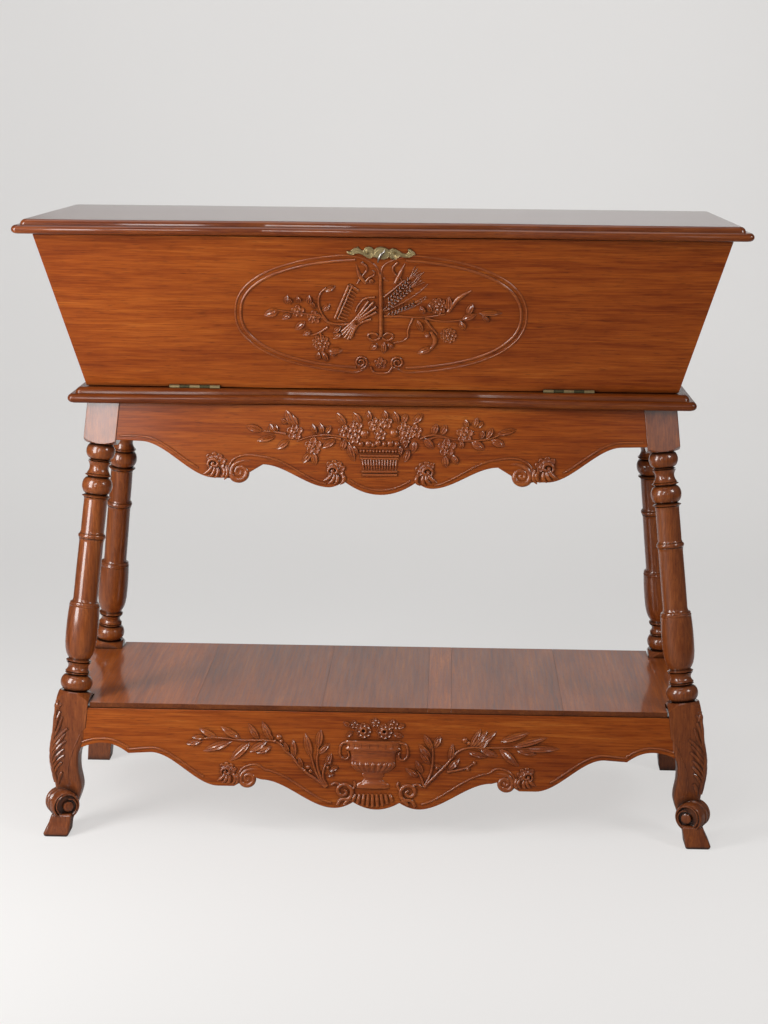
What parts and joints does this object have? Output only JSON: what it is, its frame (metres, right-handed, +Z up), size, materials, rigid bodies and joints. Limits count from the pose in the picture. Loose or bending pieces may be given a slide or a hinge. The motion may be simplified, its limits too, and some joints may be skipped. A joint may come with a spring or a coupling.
{
  "type": "dough bin table",
  "caption": "Flared dough bin with a drop front and a moulded hinged lid, on a stand with splayed turned legs, scalloped aprons and a low plank shelf.",
  "frame": {"origin": "middle of the footprint, on the floor", "axes": "+X to the right along the length, +Y from the carved front to the back, +Z up"},
  "size_m": [1.24, 0.528, 1.0843],
  "materials": {
    "walnut": "polished",
    "dark_walnut": "polished",
    "brass": "aged",
    "steel": "worn"
  },
  "bodies": {
    "stand": {"bin_back": "walnut", "bin_end_left": "walnut", "bin_end_right": "walnut", "bin_floor": "walnut", "front_hinge_left_fixed_leaf": "brass", "front_hinge_left_fixed_screw_a": "steel", "front_hinge_left_fixed_screw_b": "steel", "front_hinge_left_pin": "steel", "front_hinge_right_fixed_leaf": "brass", "front_hinge_right_fixed_screw_a": "steel", "front_hinge_right_fixed_screw_b": "steel", "front_hinge_right_pin": "steel", "leg_back_left": "dark_walnut", "leg_back_right": "dark_walnut", "leg_front_left": "dark_walnut", "leg_front_right": "dark_walnut", "lid_hinge_left_fixed_leaf": "brass", "lid_hinge_left_fixed_screw_a": "steel", "lid_hinge_left_fixed_screw_b": "steel", "lid_hinge_left_pin": "steel", "lid_hinge_right_fixed_leaf": "brass", "lid_hinge_right_fixed_screw_a": "steel", "lid_hinge_right_fixed_screw_b": "steel", "lid_hinge_right_pin": "steel", "lower_apron_back": "walnut", "lower_apron_front": "walnut", "lower_apron_left": "walnut", "lower_apron_right": "walnut", "shelf_board_1": "dark_walnut", "shelf_board_2": "dark_walnut", "shelf_board_3": "dark_walnut", "shelf_board_4": "dark_walnut", "shelf_board_5": "dark_walnut", "shelf_board_6": "dark_walnut", "upper_apron_back": "walnut", "upper_apron_front": "walnut", "upper_apron_left": "walnut", "upper_apron_right": "walnut"},
    "front_flap": {"catch_plate": "brass", "drop_front": "walnut", "front_hinge_left_moving_leaf": "brass", "front_hinge_left_moving_screw_a": "steel", "front_hinge_left_moving_screw_b": "steel", "front_hinge_right_moving_leaf": "brass", "front_hinge_right_moving_screw_a": "steel", "front_hinge_right_moving_screw_b": "steel", "plate_pin_left": "brass", "plate_pin_right": "brass"},
    "lid": {"catch_strike": "brass", "lid": "walnut", "lid_hinge_left_moving_leaf": "brass", "lid_hinge_left_moving_screw_a": "steel", "lid_hinge_left_moving_screw_b": "steel", "lid_hinge_right_moving_leaf": "brass", "lid_hinge_right_moving_screw_a": "steel", "lid_hinge_right_moving_screw_b": "steel"},
    "turn_catch": {"catch_lever": "steel", "catch_cam": "steel"}
  },
  "joints": [
    {"name": "flap_hinge", "type": "hinge", "parent": "stand", "child": "front_flap", "pos_m": [0, -0.15783, 0.7927], "axis": [1, 0, 0], "range_deg": [0, 104]},
    {"name": "lid_hinge", "type": "hinge", "parent": "stand", "child": "lid", "pos_m": [0, 0.2364, 1.0614], "axis": [-1, 0, 0], "range_deg": [0, 108]},
    {"name": "catch_turn", "type": "hinge", "parent": "front_flap", "child": "turn_catch", "pos_m": [0, -0.22526, 1.03325], "axis": [0, 0.9598, 0.2807], "range_deg": [0, 90]}
  ]
}
